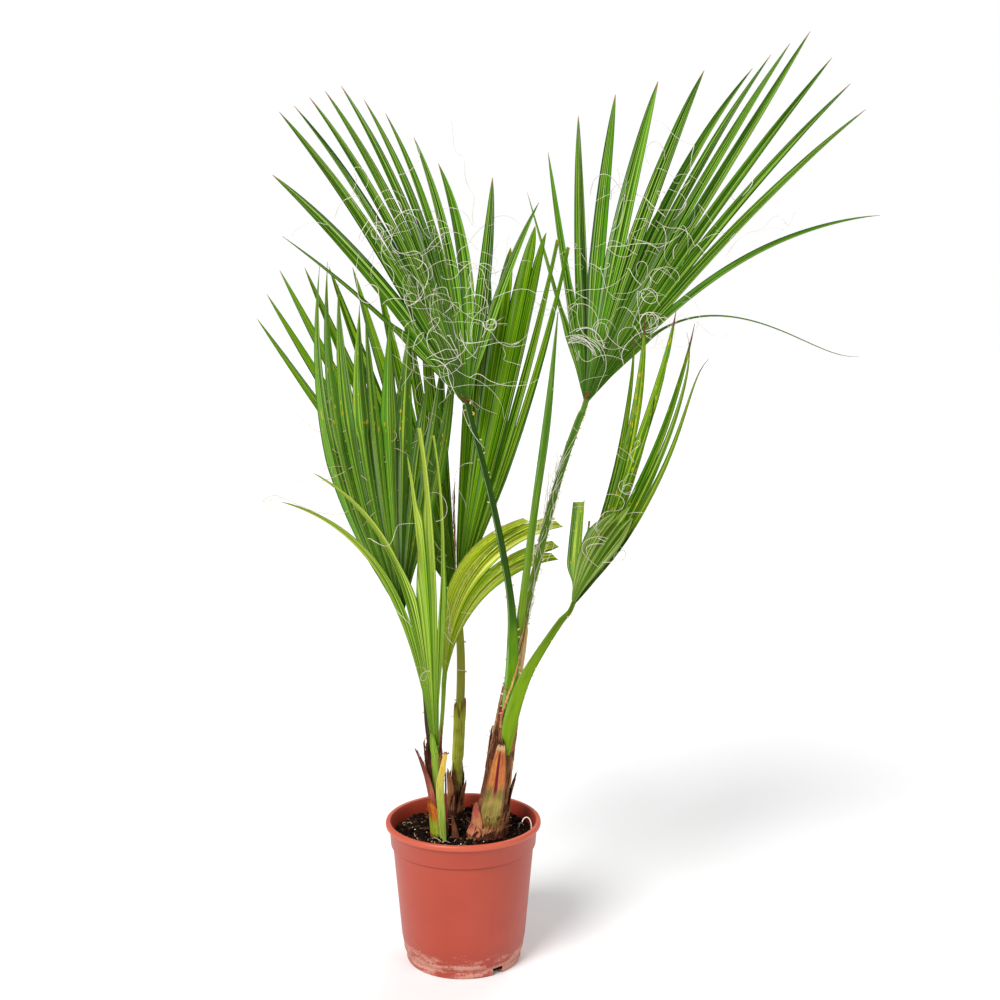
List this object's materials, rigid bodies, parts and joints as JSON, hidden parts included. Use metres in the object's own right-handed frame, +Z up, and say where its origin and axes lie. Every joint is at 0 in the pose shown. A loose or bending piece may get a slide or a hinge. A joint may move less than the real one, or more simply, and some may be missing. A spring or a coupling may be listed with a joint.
{
  "type": "potted mexican fan palm",
  "caption": "Young fan palm with slender stems, toothed leaf stalks and split fan-shaped blades, growing in a round tapered nursery pot.",
  "frame": {"origin": "on the pot's axis, at the flat underside of its base", "axes": "+Z up along the pot's axis, +Y away from the viewer of the picture, +X to the viewer's right"},
  "size_m": [0.7559, 0.2894, 1.1458],
  "materials": {
    "pot_plastic": "matte terracotta plastic",
    "growing_mix": "moist dark peat mix with pale specks",
    "stem_fibre": "fibrous, matte",
    "leaf_stalk": "smooth, slightly glossy",
    "leaf_base": "dry, fibrous",
    "cut_stalk": "smooth, yellowed",
    "green_leaf": "satin with fine veins",
    "pale_leaf": "satin with yellow stripes"
  },
  "bodies": {
    "root": {"pot": "pot_plastic", "soil": "growing_mix", "trunk_right": "stem_fibre", "trunk_left": "stem_fibre", "trunk_middle": "stem_fibre", "stalk_right_low": "leaf_stalk", "stalk_left_high": "leaf_stalk", "stalk_right_high": "leaf_stalk", "stalk_left_low": "leaf_stalk", "stalk_middle": "leaf_stalk", "stalk_arching": "leaf_stalk", "spear": "leaf_stalk", "stub_yellow": "cut_stalk", "stub_dry": "leaf_base", "sheath_right_front": "leaf_base", "sheath_right_collar": "leaf_base", "sheath_right_foot": "leaf_base", "sheath_right_spur": "leaf_base", "sheath_left_back": "leaf_base", "sheath_left_front": "leaf_base", "sheath_left_red": "leaf_base", "sheath_middle_left": "leaf_base", "sheath_middle_right": "leaf_base", "frond_right_high": "green_leaf", "frond_left_high": "green_leaf", "frond_middle": "green_leaf", "frond_left_low": "green_leaf", "frond_right_low": "green_leaf", "frond_right_low_flap": "green_leaf", "leaf_young": "pale_leaf", "leaf_arching": "pale_leaf"}
  },
  "joints": []
}
